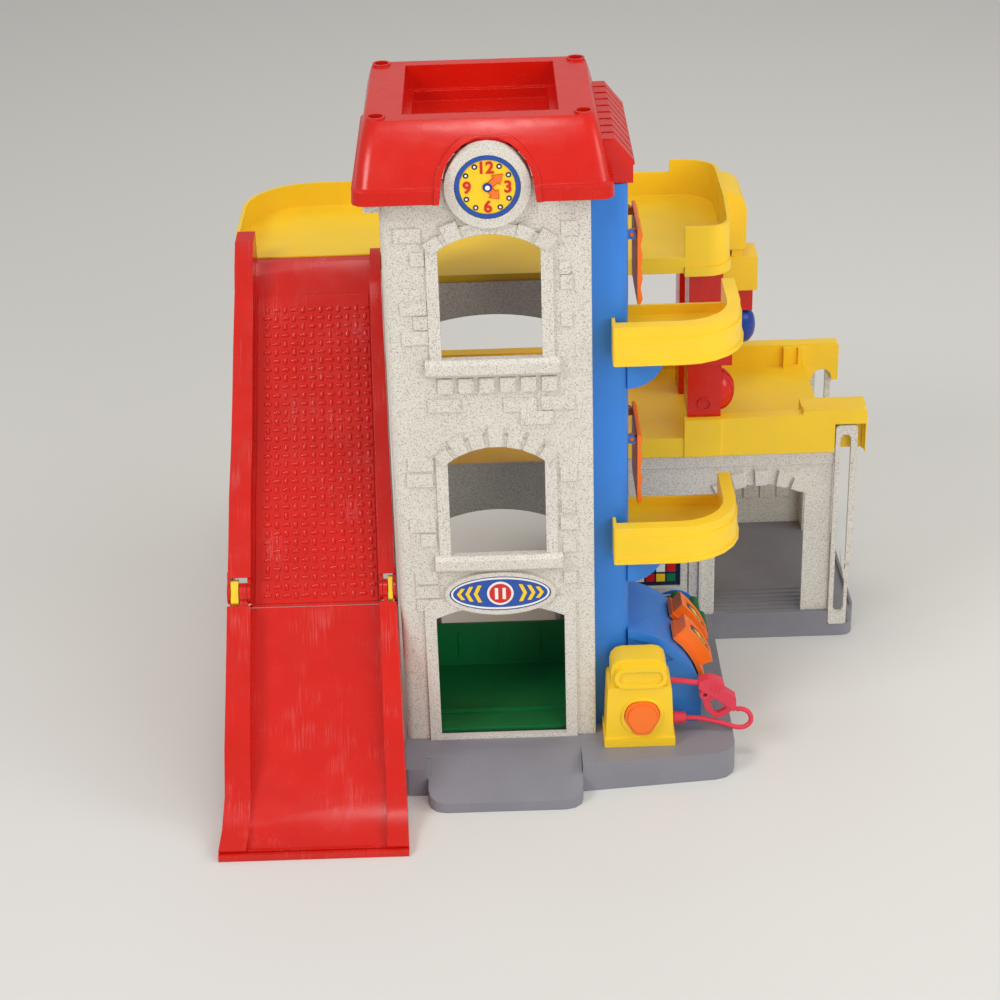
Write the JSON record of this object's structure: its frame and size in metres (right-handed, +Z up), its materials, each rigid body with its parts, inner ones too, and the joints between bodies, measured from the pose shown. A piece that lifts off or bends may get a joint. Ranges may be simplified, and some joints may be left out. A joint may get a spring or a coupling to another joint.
{
  "type": "toy parking garage with lift",
  "caption": "Toy parking garage: stone tower with a wound lift, side balconies behind gates, folding ramp, two car decks over a low building, press levers and a pump with a hose.",
  "frame": {"origin": "centre of the bounding box at the surface that the garage stands on", "axes": "+Z up, +Y to the back, +X to the right as the tower's front is seen"},
  "size_m": [0.5376, 0.508, 0.5415],
  "materials": {
    "stone": "speckled off-white moulding, fine grain",
    "red": "glossy moulding",
    "yellow": "satin gloss moulding",
    "blue": "satin gloss moulding",
    "navy": "glossy moulding",
    "green": "satin gloss moulding",
    "grey_base": "satin moulding",
    "orange": "glossy moulding",
    "hose": "soft satin moulding",
    "steel": "plain drawn bar",
    "line": "braided line",
    "dial": "printed film on a plate",
    "sign": "printed film on a plate",
    "picture": "printed film on a plate"
  },
  "bodies": {
    "garage": {"base_front": "grey_base", "base_rear": "grey_base", "tower_facade": "stone", "tower_back": "stone", "tower_side": "blue", "clock_dial": "dial", "sign_plate": "sign", "roof": "red", "balcony_upper": "yellow", "balcony_lower": "yellow", "deck_upper": "yellow", "deck_mid": "yellow", "chute_peg": "red", "chute_knob": "navy", "post_front": "red", "post_rear": "red", "low_front": "stone", "low_back": "stone", "picture_panel": "picture", "slot_plate_front": "stone", "slot_plate_rear": "stone", "ramp_upper": "red", "ramp_latch_left": "yellow", "ramp_latch_right": "yellow", "lift_guide": "grey_base", "lift_line": "line", "lift_line_return": "line", "wheel_stand": "blue", "lever_shaft": "steel", "pump_body": "yellow", "hose_collar": "hose", "pump_hose": "hose", "pump_nozzle": "hose"},
    "lift_car": {"lift_car": "green"},
    "winding_wheel": {"winding_wheel": "green", "winding_spool": "blue"},
    "lift_pulley": {"lift_pulley": "steel"},
    "lever_front": {"lever_front": "orange"},
    "lever_rear": {"lever_rear": "orange"},
    "gate_upper": {"gate_upper": "orange"},
    "gate_lower": {"gate_lower": "orange"},
    "pump_button": {"pump_button": "orange"},
    "ramp_lower": {"ramp_lower": "red"}
  },
  "joints": [
    {"name": "lift_slide", "type": "slide", "parent": "garage", "child": "lift_car", "axis": [0, 0, 1], "range_m": [0, 0.335], "deforming": ["lift_line"]},
    {"name": "wheel_turn", "type": "hinge", "parent": "garage", "child": "winding_wheel", "pos_m": [0.104, 0, 0.054], "axis": [0, 1, 0], "range_deg": [0, 1200]},
    {"name": "pulley_turn", "type": "hinge", "parent": "garage", "child": "lift_pulley", "pos_m": [0.0415, 0.012, 0.474], "axis": [0, 1, 0], "range_deg": [0, 1829]},
    {"name": "lever_front_press", "type": "hinge", "parent": "garage", "child": "lever_front", "pos_m": [0.0614, -0.0925, 0.044], "axis": [0, 1, 0], "range_deg": [0, 10], "stiffness_Nm_per_rad": 0.15, "springref_deg": -11.46},
    {"name": "lever_rear_press", "type": "hinge", "parent": "garage", "child": "lever_rear", "pos_m": [0.0614, -0.0565, 0.044], "axis": [0, 1, 0], "range_deg": [0, 10], "stiffness_Nm_per_rad": 0.15, "springref_deg": -11.46},
    {"name": "gate_upper_swing", "type": "hinge", "parent": "garage", "child": "gate_upper", "pos_m": [0.0595, -0.0725, 0.443], "axis": [0, -1, 0], "range_deg": [0, 60]},
    {"name": "gate_lower_swing", "type": "hinge", "parent": "garage", "child": "gate_lower", "pos_m": [0.0595, -0.0725, 0.275], "axis": [0, -1, 0], "range_deg": [0, 60]},
    {"name": "button_press", "type": "slide", "parent": "garage", "child": "pump_button", "axis": [0, 1, 0], "range_m": [0, 0.0035], "stiffness_N_per_m": 250, "springref_m": -0.002},
    {"name": "ramp_fold", "type": "hinge", "parent": "garage", "child": "ramp_lower", "pos_m": [-0.197, -0.1125, 0.156], "axis": [-1, 0, 0], "range_deg": [0, 80]}
  ],
  "couplings": [
    {"joint": "wheel_turn", "follows": "lift_slide", "rad_per_m": 62.5},
    {"joint": "pulley_turn", "follows": "lift_slide", "rad_per_m": 95.238}
  ]
}
